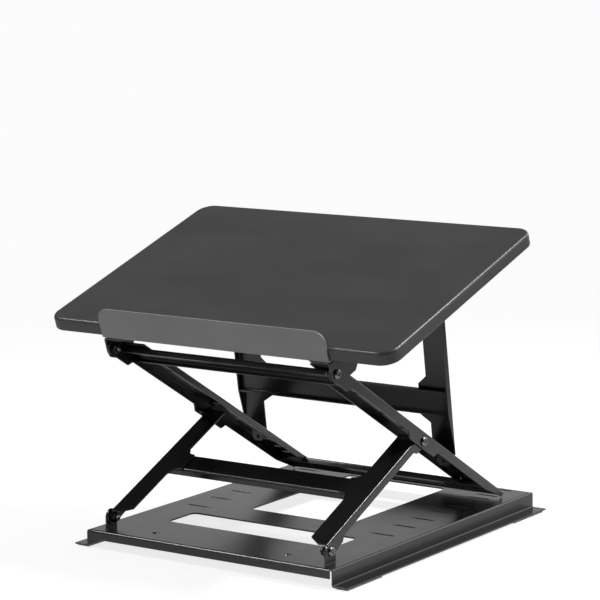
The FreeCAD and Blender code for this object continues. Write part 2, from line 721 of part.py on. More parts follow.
def make_screws():
    """Pan-head screws that hold the brackets and the lip under the board."""
    solids = []
    low = -D["tray_t"]
    for i, (x, y) in enumerate(SCREW_POINTS):
        face = low - GAP - SHEET
        if 15 < y < 100:
            face = low - 2 * GAP - SHEET - D["lug_t"]
        spot = TRAY_PLACE.multVec(Vector(x, y, face))
        head = doc.addObject("Part::Cylinder", "screw_head_%d" % i)
        head.Radius = SCREW_HEAD_R
        head.Height = SCREW_HEAD_H
        head.Placement = Placement(spot, TRAY_PLACE.Rotation.multiply(Rotation(Vector(1, 0, 0), 180)))
        shank = doc.addObject("Part::Cylinder", "screw_shank_%d" % i)
        shank.Radius = SCREW_R
        shank.Height = low - face + SCREW_DEPTH
        shank.Placement = Placement(spot, TRAY_PLACE.Rotation)
        fused = doc.addObject("Part::Fuse", "screw_%d" % i)
        fused.Base = head
        fused.Tool = shank
        solids.append(fused)
    group = doc.addObject("Part::Compound", "tray_screws")
    group.Label = "tray_screws"
    group.Links = solids
    return group


SCREW_POINTS = []
for side in (-1, 1):
    SCREW_POINTS.append((side * 104.0, 26.0))
    SCREW_POINTS.append((side * 104.0, 42.0))
    SCREW_POINTS.append((side * 136.0, PROP_BACK - 7.0))
    SCREW_POINTS.append((side * 136.0, PROP_BACK + 7.0))
    SCREW_POINTS.append((side * 30.0, 11.0))
    SCREW_POINTS.append((side * 84.0, 11.0))

NODES = [make_base(), make_pads()]
for side in (-1, 1):
    NODES.append(make_front_leg(side))
    NODES.append(make_long_leg(side))
    NODES.append(make_front_bracket(side))
    NODES.append(make_rear_bracket(side))
    NODES.append(make_prop(side))
NODES.append(make_front_crossbar())
NODES.append(make_long_crossbar("top_crossbar", 11.0, 1.9))
NODES.append(make_long_crossbar("bottom_crossbar", 303.5, 3.4))
NODES.append(make_tilt_tabs())
NODES.append(make_tray())
NODES.append(make_lip())
NODES.append(make_prop_crossbar())
NODES.append(make_screws())

NUT_FACE = FRONT_OUT - SHEET - PIVOT_GAP
NODES.append(make_bolts("lug_bolts", LUG_AXIS, LUG_IN + D["lug_t"], 10.6))
NODES.append(make_nuts("lug_nuts", LUG_AXIS, NUT_FACE))
NODES.append(make_bolts("scissor_bolts", CROSS_AXIS, LEG_OUT + PIVOT_GAP, 10.0))
NODES.append(make_nuts("scissor_nuts", CROSS_AXIS, NUT_FACE))
NODES.append(make_bolts("tray_bolts", TRAY_AXIS, PLATE_IN + D["lug_t"] + PIVOT_GAP, 10.8))
NODES.append(make_nuts("tray_nuts", TRAY_AXIS, LEG_OUT - SHEET - PIVOT_GAP))
NODES.append(make_bolts("support_bolts", PROP_AXIS, EAR_IN + SHEET + PIVOT_GAP, 10.0))
NODES.append(make_nuts("support_nuts", PROP_AXIS, PROP_OUT - SHEET - PIVOT_GAP))

doc.recompute()
for obj in doc.Objects:
    if "Invalid" in obj.State or "Error" in obj.State:
        raise RuntimeError("bad object " + obj.Name)

os.makedirs("parts", exist_ok=True)
for node in NODES:
    shape = node.Shape
    if shape.isNull() or not shape.isValid():
        raise RuntimeError("bad shape " + node.Label)
    shape.exportStep("parts/%s.step" % node.Label)
    print(node.Label, len(shape.Solids), round(shape.Volume / 1000.0, 2))
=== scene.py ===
import json
import math

import bmesh
import bpy
from mathutils import Matrix, Vector


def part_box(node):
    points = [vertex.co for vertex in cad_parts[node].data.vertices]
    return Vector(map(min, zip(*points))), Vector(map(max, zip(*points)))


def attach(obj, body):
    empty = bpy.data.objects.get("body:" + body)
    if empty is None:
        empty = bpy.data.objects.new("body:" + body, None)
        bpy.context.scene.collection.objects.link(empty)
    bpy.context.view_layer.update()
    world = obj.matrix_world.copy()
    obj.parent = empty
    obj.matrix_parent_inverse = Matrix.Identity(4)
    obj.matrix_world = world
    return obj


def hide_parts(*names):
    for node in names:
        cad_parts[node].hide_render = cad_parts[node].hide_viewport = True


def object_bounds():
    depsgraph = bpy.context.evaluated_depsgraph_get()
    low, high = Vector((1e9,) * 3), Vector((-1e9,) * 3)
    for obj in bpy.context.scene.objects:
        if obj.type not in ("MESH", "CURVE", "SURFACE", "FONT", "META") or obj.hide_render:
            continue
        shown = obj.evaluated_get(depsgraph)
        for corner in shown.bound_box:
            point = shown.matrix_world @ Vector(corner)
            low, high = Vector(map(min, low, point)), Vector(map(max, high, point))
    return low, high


bl_info = {
    "name": "Folding Desk Riser",
    "version": (1, 0, 0),
    "blender": (4, 5, 0),
    "location": "3D View > Sidebar > Riser",
    "description": "Finishes the pieces of a folding sheet-steel riser and lights them in a small studio",
    "category": "Object",
}

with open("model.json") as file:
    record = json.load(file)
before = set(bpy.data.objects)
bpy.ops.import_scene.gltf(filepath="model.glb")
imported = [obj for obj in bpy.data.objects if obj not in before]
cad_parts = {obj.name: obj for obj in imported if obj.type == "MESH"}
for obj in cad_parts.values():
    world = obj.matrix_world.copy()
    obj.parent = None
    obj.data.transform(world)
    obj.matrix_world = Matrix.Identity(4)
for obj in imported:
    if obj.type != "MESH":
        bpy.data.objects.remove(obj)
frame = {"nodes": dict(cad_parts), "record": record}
CAD_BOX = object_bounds()
BODIES = frame["record"]["behaviour"]["bodies"]
MOUNTS = {m["name"]: m for m in frame["record"]["mounts"]}
SLOTS = {p["node"]: p["material_slot"] for p in frame["record"]["subparts"]}


def body_with(node):
    """Name of the body that holds a CAD node."""
    return next(name for name, nodes in BODIES.items() if node in nodes)


# ------------------------------------------------------------------ settings
class RiserCoatSettings(bpy.types.PropertyGroup):
    coat_colour: bpy.props.FloatVectorProperty(
        name="Coat colour",
        description="Powder coat on the frame",
        subtype="COLOR",
        size=3,
        min=0.0,
        max=1.0,
        default=(0.0036, 0.0036, 0.0038),
    )
    # Pale colour on convex edges and folds: partly coat worn thin, partly a painted highlight standing in
    # for light caught on the edges
    coat_wear_and_highlight: bpy.props.FloatVectorProperty(
        name="Edge wear and painted highlight",
        description="Pale edges of the coat, partly wear and partly painted highlight",
        subtype="COLOR",
        size=3,
        min=0.0,
        max=1.0,
        default=(0.16, 0.16, 0.162),
    )
    lip_colour: bpy.props.FloatVectorProperty(
        name="Lip colour",
        description="Coarser, paler coat on the front lip",
        subtype="COLOR",
        size=3,
        min=0.0,
        max=1.0,
        default=(0.21, 0.21, 0.213),
    )
    skin_colour: bpy.props.FloatVectorProperty(
        name="Tray skin",
        description="Satin skin of the tray board",
        subtype="COLOR",
        size=3,
        min=0.0,
        max=1.0,
        default=(0.056, 0.056, 0.058),
    )
    rubber_colour: bpy.props.FloatVectorProperty(
        name="Rubber colour",
        description="Strips under the foot flanges",
        subtype="COLOR",
        size=3,
        min=0.0,
        max=1.0,
        default=(0.45, 0.45, 0.44),
    )
    bolt_colour: bpy.props.FloatVectorProperty(
        name="Bolt plating",
        description="Plating of the pivot bolts",
        subtype="COLOR",
        size=3,
        min=0.0,
        max=1.0,
        default=(0.30, 0.30, 0.305),
    )
    nut_colour: bpy.props.FloatVectorProperty(
        name="Nut plating",
        description="Black plating of the nuts and tray screws",
        subtype="COLOR",
        size=3,
        min=0.0,
        max=1.0,
        default=(0.035, 0.035, 0.036),
    )
    coat_roughness: bpy.props.FloatProperty(
        name="Coat roughness",
        description="Middle roughness of the powder coat",
        min=0.0,
        max=1.0,
        default=0.25,
    )
    grain: bpy.props.FloatProperty(
        name="Grain",
        description="Size of the coat's fine bumps",
        subtype="DISTANCE",
        unit="LENGTH",
        min=0.0001,
        default=0.0007,
    )


class RiserShapeSettings(bpy.types.PropertyGroup):
    edge: bpy.props.FloatProperty(
        name="Sheet edge",
        description="Rounding of cut sheet edges under the coat",
        subtype="DISTANCE",
        unit="LENGTH",
        min=0.0,
        default=0.00028,
    )
    tray_edge: bpy.props.FloatProperty(
        name="Tray edge",
        description="Rounding of the tray board's top edge",
        subtype="DISTANCE",
        unit="LENGTH",
        min=0.0,
        default=0.0030,
    )
    tray_corner: bpy.props.FloatProperty(
        name="Tray corner",
        description="Corner radius of the tray board in plan",
        subtype="DISTANCE",
        unit="LENGTH",
        min=0.0,
        default=0.016,
    )
    thread_pitch: bpy.props.FloatProperty(
        name="Thread pitch",
        description="Pitch of the pivot bolts' thread",
        subtype="DISTANCE",
        unit="LENGTH",
        min=0.0002,
        default=0.0008,
    )


class RiserStageSettings(bpy.types.PropertyGroup):
    eye: bpy.props.FloatVectorProperty(
        name="Camera place",
        description="Where the camera stands",
        subtype="TRANSLATION",
        unit="LENGTH",
        size=3,
        default=(1.3413, -1.9804, 0.5915),
    )
    turn: bpy.props.FloatProperty(
        name="Camera azimuth",
        description="Direction of view, anticlockwise from straight back",
        subtype="ANGLE",
        unit="ROTATION",
        default=math.radians(34.44),
    )
    drop: bpy.props.FloatProperty(
        name="Camera tilt",
        description="Angle of view below the horizon",
        subtype="ANGLE",
        unit="ROTATION",
        default=math.radians(8.82),
    )
    roll: bpy.props.FloatProperty(
        name="Camera roll",
        description="Rotation about the line of sight",
        subtype="ANGLE",
        unit="ROTATION",
        default=math.radians(-0.43),
    )
    lens: bpy.props.FloatProperty(
        name="Lens",
        description="Focal length on a 36 mm sensor, in millimetres",
        min=1.0,
        default=154.2,
    )
    floor_colour: bpy.props.FloatVectorProperty(
        name="Floor",
        description="Pale floor",
        subtype="COLOR",
        size=3,
        min=0.0,
        max=1.0,
        default=(0.32, 0.32, 0.32),
    )
    floor_glow: bpy.props.FloatProperty(
        name="Floor glow",
        description="Light that the translucent floor gives by itself",
        min=0.0,
        default=0.80,
    )
    back_colour: bpy.props.FloatVectorProperty(
        name="Background",
        description="Pale surroundings, as the camera sees them",
        subtype="COLOR",
        size=3,
        min=0.0,
        max=1.0,
        default=(0.97, 0.97, 0.97),
    )
    key_power: bpy.props.FloatProperty(
        name="Key light",
        description="Power of the large soft box behind the riser",
        subtype="POWER",
        unit="POWER",
        min=0.0,
        default=9.0,
    )
    side_power: bpy.props.FloatProperty(
        name="Side light",
        description="Power of the soft box on the right",
        subtype="POWER",
        unit="POWER",
        min=0.0,
        default=2.0,
    )
    edge_power: bpy.props.FloatProperty(
        name="Edge lights",
        description="Power of the two small lights that pick out folds and edges",
        subtype="POWER",
        unit="POWER",
        min=0.0,
        default=38.0,
    )
    front_power: bpy.props.FloatProperty(
        name="Front light",
        description="Power of the small fill light at the front",
        subtype="POWER",
        unit="POWER",
        min=0.0,
        default=8.0,
    )


# ------------------------------------------------------------------ materials
COAT_GLOSS = 0.8                   # specular level of a baked powder coat
EDGE_WEAR_AND_HIGHLIGHT_REACH = 0.0007                 # how far from an edge the pale wear and painted highlight reach
PEEL_DEPTH = 0.000003              # orange peel of the frame's coat
LIP_PEEL_DEPTH = 0.00002           # coarser peel of the lip's coat
LIP_ROUGHNESS = 0.5
PEBBLES_PER_METRE = 1900.0         # pebble of the tray's laminate
PEBBLE_DEPTH = 0.000004
SKIN_GRAIN_DEPTH = 0.000003
SKIN_ROUGHNESS = (0.33, 0.38)      # plain, wiped
GRIME_DEPTH = 0.00008
PORE_DEPTH = 0.00005
RUBBER_ROUGHNESS = (0.7, 0.9)      # clean, soiled
STAIN_DEPTH = 0.00002
MARK_DEPTH = 0.000004              # turning marks on bolts and nuts
BOLT_ROUGHNESS = 0.22
NUT_ROUGHNESS = 0.33


def add_node(tree, kind, **sockets):
    """New shader node with some of its input values set."""
    made = tree.nodes.new(kind)
    for key, value in sockets.items():
        made.inputs[key.replace("_", " ")].default_value = value
    return made


def blank_material(name):
    """Material with a Principled shader; returns its tree and shader."""
    material = bpy.data.materials.new(name)
    material.use_nodes = True
    tree = material.node_tree
    tree.nodes.clear()
    output = tree.nodes.new("ShaderNodeOutputMaterial")
    shader = tree.nodes.new("ShaderNodeBsdfPrincipled")
    tree.links.new(shader.outputs["BSDF"], output.inputs["Surface"])
    return material, tree, shader


def noise(tree, place, size, detail=2.0, stretch=None):
    """Noise whose features are about size metres across; stretch squeezes its axes."""
    grain = add_node(tree, "ShaderNodeTexNoise", Scale=1.0 / size, Detail=detail, Roughness=0.55)
    if stretch:
        mapping = add_node(tree, "ShaderNodeMapping", Scale=stretch)
        tree.links.new(place, mapping.inputs["Vector"])
        place = mapping.outputs["Vector"]
    tree.links.new(place, grain.inputs["Vector"])
    return grain.outputs["Fac"]


def spread(tree, value, low, high, to_low=0.0, to_high=1.0):
    """Value between low and high, moved to the range to_low to to_high."""
    ranged = tree.nodes.new("ShaderNodeMapRange")
    limits = {"From Min": low, "From Max": high, "To Min": to_low, "To Max": to_high}
    for key, number in limits.items():
        ranged.inputs[key].default_value = number
    tree.links.new(value, ranged.inputs["Value"])
    return ranged.outputs["Result"]


def combine(tree, how, first, second):
    """Maths node on two sockets, or on a socket and a number."""
    maths = tree.nodes.new("ShaderNodeMath")
    maths.operation = how
    for index, term in enumerate((first, second)):
        if isinstance(term, (int, float)):
            maths.inputs[index].default_value = term
        else:
            tree.links.new(term, maths.inputs[index])
    return maths.outputs[0]


def blend_colours(tree, factor, first, second):
    """Colour mixed from two plain colours, or from a colour socket and a plain one."""
    mix = tree.nodes.new("ShaderNodeMix")
    mix.data_type = "RGBA"
    tree.links.new(factor, mix.inputs["Factor"])
    for label, colour in (("A", first), ("B", second)):
        slot_in = next(s for s in mix.inputs if s.name == label and s.type == "RGBA")
        if isinstance(colour, (tuple, list)):
            slot_in.default_value = (*colour[:3], 1.0)
        else:
            tree.links.new(colour, slot_in)
    return next(s for s in mix.outputs if s.type == "RGBA")


def relief(tree, shader, layers):
    """Bumps in layers of (height socket, depth in metres), coarse first."""
    normal = None
    for height, depth in layers:
        bump = add_node(tree, "ShaderNodeBump", Strength=1.0, Distance=depth)
        tree.links.new(height, bump.inputs["Height"])
        if normal:
            tree.links.new(normal, bump.inputs["Normal"])
        normal = bump.outputs["Normal"]
    tree.links.new(normal, shader.inputs["Normal"])


def edge_mask(tree, place, reach):
    """One on convex edges and corners, zero on flat faces, broken up by noise; it marks where the coat is
    painted pale, as wear and as a painted highlight.
    """
    bevel = add_node(tree, "ShaderNodeBevel", Radius=reach)
    bevel.samples = 6
    plain = tree.nodes.new("ShaderNodeNewGeometry")
    dot = tree.nodes.new("ShaderNodeVectorMath")
    dot.operation = "DOT_PRODUCT"
    tree.links.new(bevel.outputs["Normal"], dot.inputs[0])
    tree.links.new(plain.outputs["Normal"], dot.inputs[1])
    mask = spread(tree, dot.outputs["Value"], 0.998, 0.90)
    edge_breakup = noise(tree, place, size=0.012, detail=3.0)
    broken = spread(tree, edge_breakup, 0.25, 0.6, 0.35, 1.0)
    return combine(tree, "MULTIPLY", mask, broken)


def powder_coat(name, colour, edge_wear_and_highlight, roughness, grain, depth, wear_and_highlight_share):
    """Sprayed and baked coat: fine orange peel, uneven sheen, edges painted pale as wear and as a painted
    highlight, a little dust.
    """
    material, tree, shader = blank_material(name)
    place = tree.nodes.new("ShaderNodeTexCoord").outputs["Object"]
    patches = noise(tree, place, size=0.07, detail=3.0)
    smears = noise(tree, place, size=0.02, detail=4.0, stretch=(1.0, 0.35, 1.0))
    specks = noise(tree, place, size=grain * 0.45)
    peel = noise(tree, place, size=grain, detail=3.0)
    shader.inputs["Specular IOR Level"].default_value = COAT_GLOSS
    edges = edge_mask(tree, place, EDGE_WEAR_AND_HIGHLIGHT_REACH)
    paler = tuple(min(1.0, c * 1.2 + 0.0025) for c in colour)
    uneven_colour = combine(tree, "ADD", patches, combine(tree, "MULTIPLY", specks, 0.7))
    tint = spread(tree, uneven_colour, 0.6, 1.1)
    base = blend_colours(tree, tint, tuple(colour), paler)
    # Painted highlight: convex edges and folds blend to the pale colour, partly worn coat, partly light on
    # the edges painted in
    edged = blend_colours(tree, combine(tree, "MULTIPLY", edges, wear_and_highlight_share), base, tuple(edge_wear_and_highlight))
    tree.links.new(edged, shader.inputs["Base Color"])
    broad = combine(tree, "MULTIPLY", smears, 0.6)
    small = combine(tree, "MULTIPLY", specks, 0.4)
    uneven_sheen = combine(tree, "ADD", broad, small)
    rough = spread(tree, uneven_sheen, 0.3, 0.7, roughness - 0.02, roughness + 0.03)
    tree.links.new(rough, shader.inputs["Roughness"])
    relief(tree, shader, [(peel, depth), (specks, depth * 0.25)])
    return material


def tray_skin(name, colour):
    """Satin laminate with a very fine pebble and faint wipe marks."""
    material, tree, shader = blank_material(name)
    place = tree.nodes.new("ShaderNodeTexCoord").outputs["Object"]
    pebble = add_node(tree, "ShaderNodeTexVoronoi", Scale=PEBBLES_PER_METRE)
    tree.links.new(place, pebble.inputs["Vector"])
    fine = noise(tree, place, size=0.0004)
    wipes = noise(tree, place, size=0.06, detail=3.0, stretch=(0.6, 1.2, 1.0))
    paler = tuple(c * 1.15 for c in colour)
    wiped = spread(tree, wipes, 0.35, 0.7)
    skin = blend_colours(tree, wiped, tuple(colour), paler)
    tree.links.new(skin, shader.inputs["Base Color"])
    rough = spread(tree, wipes, 0.3, 0.7, *SKIN_ROUGHNESS)
    tree.links.new(rough, shader.inputs["Roughness"])
    relief(tree, shader, [(pebble.outputs["Distance"], PEBBLE_DEPTH), (fine, SKIN_GRAIN_DEPTH)])
    return material


def rubber(name, colour):
    """Matt moulded rubber with grime in its pores."""
    material, tree, shader = blank_material(name)
    place = tree.nodes.new("ShaderNodeTexCoord").outputs["Object"]
    grime = noise(tree, place, size=0.006, detail=4.0)
    pores = noise(tree, place, size=0.0005)
    dirty = tuple(c * 0.55 for c in colour)
    soiled = spread(tree, grime, 0.4, 0.75)
    tone = blend_colours(tree, soiled, tuple(colour), dirty)
    tree.links.new(tone, shader.inputs["Base Color"])
    rough = spread(tree, grime, 0.3, 0.7, *RUBBER_ROUGHNESS)
    tree.links.new(rough, shader.inputs["Roughness"])
    relief(tree, shader, [(grime, GRIME_DEPTH), (pores, PORE_DEPTH)])
    return material


def plating(name, colour, roughness):
    """Plated steel with turning marks and small stains."""
    material, tree, shader = blank_material(name)
    shader.inputs["Metallic"].default_value = 1.0
    place = tree.nodes.new("ShaderNodeTexCoord").outputs["Object"]
    stains = noise(tree, place, size=0.003, detail=3.0)
    marks = noise(tree, place, size=0.00025, stretch=(3.0, 1.0, 1.0))
    darker = tuple(c * 0.6 for c in colour)
    stained = spread(tree, stains, 0.4, 0.7)
    tone = blend_colours(tree, stained, tuple(colour), darker)
    tree.links.new(tone, shader.inputs["Base Color"])
    rough = spread(tree, stains, 0.3, 0.7, roughness - 0.05, roughness + 0.12)
    tree.links.new(rough, shader.inputs["Roughness"])
    relief(tree, shader, [(stains, STAIN_DEPTH), (marks, MARK_DEPTH)])
    return material


def finish_for(slot_name):
    """Material of a record slot, made once."""
    name = "riser_" + slot_name
    if name in bpy.data.materials:
        return bpy.data.materials[name]
    coat = bpy.context.scene.riser_coat
    # Both coats get pale edges: partly wear, partly a painted highlight
    if slot_name == "powder_coat":
        return powder_coat(
            name, coat.coat_colour, coat.coat_wear_and_highlight, coat.coat_roughness, coat.grain, PEEL_DEPTH, wear_and_highlight_share=0.5
        )
    if slot_name == "lip_coat":
        return powder_coat(
            name, coat.lip_colour, coat.coat_wear_and_highlight, LIP_ROUGHNESS, coat.grain * 0.9, LIP_PEEL_DEPTH, wear_and_highlight_share=0.6
        )
    if slot_name == "tray_skin":
        return tray_skin(name, coat.skin_colour)
    if slot_name == "pad_rubber":
        return rubber(name, coat.rubber_colour)
    if slot_name == "bright_zinc":
        return plating(name, coat.bolt_colour, BOLT_ROUGHNESS)
    if slot_name == "dark_zinc":
        return plating(name, coat.nut_colour, NUT_ROUGHNESS)
    raise RuntimeError("no finish for slot " + slot_name)


# ------------------------------------------------------------------ mesh helpers
FOLD_STEP = math.radians(0.6)    # neighbouring facets that turn less than this are merged
CUT_EDGE = math.radians(40)      # edges that turn more than this are rounded


def place_piece(name, mesh, nodes):
    """Links a piece, gives it the finish of its CAD nodes and lets it ride in their stead."""
    piece = bpy.data.objects.new(name, mesh)
    bpy.context.scene.collection.objects.link(piece)
    mesh.materials.clear()
    mesh.materials.append(finish_for(SLOTS[nodes[0]]))
    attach(piece, body_with(nodes[0]))
    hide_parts(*nodes)
    return piece


def smooth_all(mesh):
    """Shades every face smooth."""
    mesh.polygons.foreach_set("use_smooth", [True] * len(mesh.polygons))
    mesh.update()


def softened(node, width, segments=2):
    """Copy of a CAD sheet piece with its flat faces merged and its cut edges rounded."""
    mesh = frame["nodes"][node].data.copy()
    mesh.name = node + "_sheet"
    if "custom_normal" in mesh.attributes:
        mesh.attributes.remove(mesh.attributes["custom_normal"])
    work = bmesh.new()
    work.from_mesh(mesh)
    bmesh.ops.remove_doubles(work, verts=work.verts, dist=1e-6)
    bmesh.ops.dissolve_limit(work, angle_limit=FOLD_STEP, verts=work.verts, edges=work.edges)
    bmesh.ops.recalc_face_normals(work, faces=work.faces)
    work.to_mesh(mesh)
    work.free()
    smooth_all(mesh)
    piece = place_piece(node + "_coated", mesh, [node])
    round_over = piece.modifiers.new("cut_edges", "BEVEL")
    round_over.width = width
    round_over.segments = segments
    round_over.limit_method = "ANGLE"
    round_over.angle_limit = CUT_EDGE
    round_over.use_clamp_overlap = False
    piece.modifiers.new("even_shading", "WEIGHTED_NORMAL").keep_sharp = True
    return piece


def lathe(work, profile, place, steps=48, wobble=None):
    """Turns (radius, height) points about an axis; wobble may change a radius with the angle."""
    rings = []
    for radius, height in profile:
        ring = []
        for k in range(steps):
            angle = 2 * math.pi * k / steps
            reach = wobble(radius, height, angle) if wobble else radius
            point = Vector((reach * math.cos(angle), reach * math.sin(angle), height))
            ring.append(work.verts.new(place @ point))
        rings.append(ring)
    for low, high in zip(rings, rings[1:]):
        for k in range(steps):
            j = (k + 1) % steps
            work.faces.new((low[k], low[j], high[j], high[k]))
    return rings


def close_ring(work, ring):
    """Caps a ring with a fan round its middle."""
    middle = work.verts.new(sum((v.co for v in ring), Vector()) / len(ring))
    for k, vert in enumerate(ring):
        work.faces.new((vert, ring[(k + 1) % len(ring)], middle))


def outward(side):
    """Rotation that takes +Z to the outward X direction of a side."""
    return Matrix.Rotation(side * math.pi / 2, 4, "Y")


def finished_mesh(name, work):
    """Mesh from a bmesh, with its normals outward and its faces smooth."""
    bmesh.ops.recalc_face_normals(work, faces=work.faces)
    mesh = bpy.data.meshes.new(name)
    work.to_mesh(mesh)
    work.free()
    smooth_all(mesh)
    return mesh


# ------------------------------------------------------------------ operators
class RiserPiece:
    """Shared part of the operators that finish sheet pieces."""

    bl_options = {"REGISTER"}
    nodes = ()

    def execute(self, context):
        width = context.scene.riser_shape.edge
        for node in self.nodes:
            softened(node, width)
        return {"FINISHED"}


class RISER_OT_base(RiserPiece, bpy.types.Operator):
    """Coat the slotted base plate and round its cut edges"""

    bl_idname = "riser.base"
    bl_label = "Base plate"
    nodes = ("base_plate",)


class RISER_OT_front_legs(RiserPiece, bpy.types.Operator):
    """Coat the short front legs and their crossbar"""

    bl_idname = "riser.front_legs"
    bl_label = "Front legs"
    nodes = ("front_leg_left", "front_leg_right", "front_crossbar")


class RISER_OT_long_legs(RiserPiece, bpy.types.Operator):
    """Coat the long slotted legs, their two crossbars and the tab ends"""

    bl_idname = "riser.long_legs"
    bl_label = "Long legs"
    nodes = ("long_leg_left", "long_leg_right", "top_crossbar", "bottom_crossbar", "tilt_tabs")


class RISER_OT_brackets(RiserPiece, bpy.types.Operator):
    """Coat the hinge plates under the tray"""

    bl_idname = "riser.brackets"
    bl_label = "Tray brackets"
    nodes = ("front_bracket_left", "front_bracket_right", "rear_bracket_left", "rear_bracket_right")


class RISER_OT_support(RiserPiece, bpy.types.Operator):
    """Coat the rear support's uprights and crossbar"""

    bl_idname = "riser.support"
    bl_label = "Rear support"
    nodes = ("support_upright_left", "support_upright_right", "support_crossbar")


class RISER_OT_lip(RiserPiece, bpy.types.Operator):
    """Coat the front lip with its coarser, paler powder"""

    bl_idname = "riser.lip"
    bl_label = "Front lip"
    nodes = ("tray_lip",)


class RISER_OT_tray(bpy.types.Operator):
    """Build the tray board with soft edges and a satin skin"""

    bl_idname = "riser.tray"
    bl_label = "Tray board"
    UNDER_EDGE = 0.0016      # rounding of the board's lower edge

    def execute(self, context):
        shape = context.scene.riser_shape
        mount = MOUNTS["tray_face"]
        up = Vector(mount["axis"]).normalized()
        back = up.cross(Vector((1, 0, 0))).normalized()
        turned = Matrix((Vector((1, 0, 0)), back, up)).transposed().to_4x4()
        place = Matrix.Translation(Vector(mount["pos_m"])) @ turned
        flat = [place.inverted() @ v.co for v in frame["nodes"]["tray_board"].data.vertices]
        half_x = max(p.x for p in flat)
        half_y = max(p.y for p in flat)
        low = min(p.z for p in flat)
        work = bmesh.new()
        top = shape.tray_edge
        under = self.UNDER_EDGE
        turns = 8
        angles = [math.pi / 2 * k / turns for k in range(turns + 1)]
        rounds = [(top * (1 - math.sin(a)), -top * (1 - math.cos(a))) for a in angles]
        rounds += [(under * (1 - math.cos(a)), low + under * (1 - math.sin(a))) for a in angles]
        rings = [
            self.outline(work, place, half_x, half_y, shape.tray_corner, inset, z) for inset, z in rounds
        ]
        for first, second in zip(rings, rings[1:]):
            for k, vert in enumerate(first):
                j = (k + 1) % len(first)
                work.faces.new((vert, first[j], second[j], second[k]))
        for end in (rings[0], rings[-1]):
            work.faces.new(end)
        mesh = finished_mesh("tray_board_skin", work)
        piece = place_piece("tray_board_skinned", mesh, ["tray_board"])
        piece.modifiers.new("even_shading", "WEIGHTED_NORMAL").keep_sharp = True
        return {"FINISHED"}

    @staticmethod
    def outline(work, place, half_x, half_y, corner, inset, z, steps=14):
        """One rounded rectangle round the board, inset at its height."""
        ring = []
        radius = corner - inset
        for quarter, (sx, sy) in enumerate(((1, 1), (-1, 1), (-1, -1), (1, -1))):
            for k in range(steps + 1):
                angle = math.pi / 2 * (quarter + k / steps)
                x = sx * (half_x - corner) + radius * math.cos(angle)
                y = sy * (half_y - corner) + radius * math.sin(angle)
                ring.append(work.verts.new(place @ Vector((x, y, z))))
        return ring


class RISER_OT_pads(bpy.types.Operator):
    """Mould the four rubber strips with soft edges and a ribbed flank"""

    bl_idname = "riser.pads"
    bl_label = "Rubber pads"
    ROUNDING = 0.00025       # of the strips' moulded edges
    NOTCH = 0.0003           # depth of the notch between two ribs

    def execute(self, context):
        work = bmesh.new()
        corners = [v.co for v in frame["nodes"]["rubber_pads"].data.vertices]
        high = max(c.z for c in corners)
        for sx in (-1, 1):
            for sy in (-1, 1):
                own = [c for c in corners if c.x * sx > 0 and c.y * sy > 0]
                low_x, high_x = min(c.x for c in own), max(c.x for c in own)
                low_y, high_y = min(c.y for c in own), max(c.y for c in own)
                self.strip(work, low_x, high_x, low_y, high_y, high)
        mesh = finished_mesh("rubber_strips", work)
        piece = place_piece("rubber_pads_moulded", mesh, ["rubber_pads"])
        soft = piece.modifiers.new("soft_edges", "BEVEL")
        soft.width = self.ROUNDING
        soft.segments = 2
        soft.angle_limit = CUT_EDGE
        return {"FINISHED"}

    @classmethod
    def strip(cls, work, low_x, high_x, low_y, high_y, top, ribs=22):
        """Strip whose two long flanks are notched between ribs."""
        ridge, sink, rise = 0.62, 0.74, 0.88    # parts of the pitch: rib's end, notch's floor
        pitch = (high_y - low_y) / ribs
        outline = []
        for flank, start, way in ((high_x, low_y, 1), (low_x, high_y, -1)):
            inward = -cls.NOTCH if flank == high_x else cls.NOTCH
            for k in range(ribs):
                y = start + way * pitch * k
                outline.append((flank, y))
                outline.append((flank, y + way * pitch * ridge))
                outline.append((flank + inward, y + way * pitch * sink))
                outline.append((flank + inward, y + way * pitch * rise))
            outline.append((flank, start + way * pitch * ribs))
        base = [work.verts.new((x, y, 0.0)) for x, y in outline]
        cover = [work.verts.new((x, y, top)) for x, y in outline]
        work.faces.new(base)
        work.faces.new(cover)
        for k in range(len(outline)):
            j = (k + 1) % len(outline)
            work.faces.new((base[k], base[j], cover[j], cover[k]))


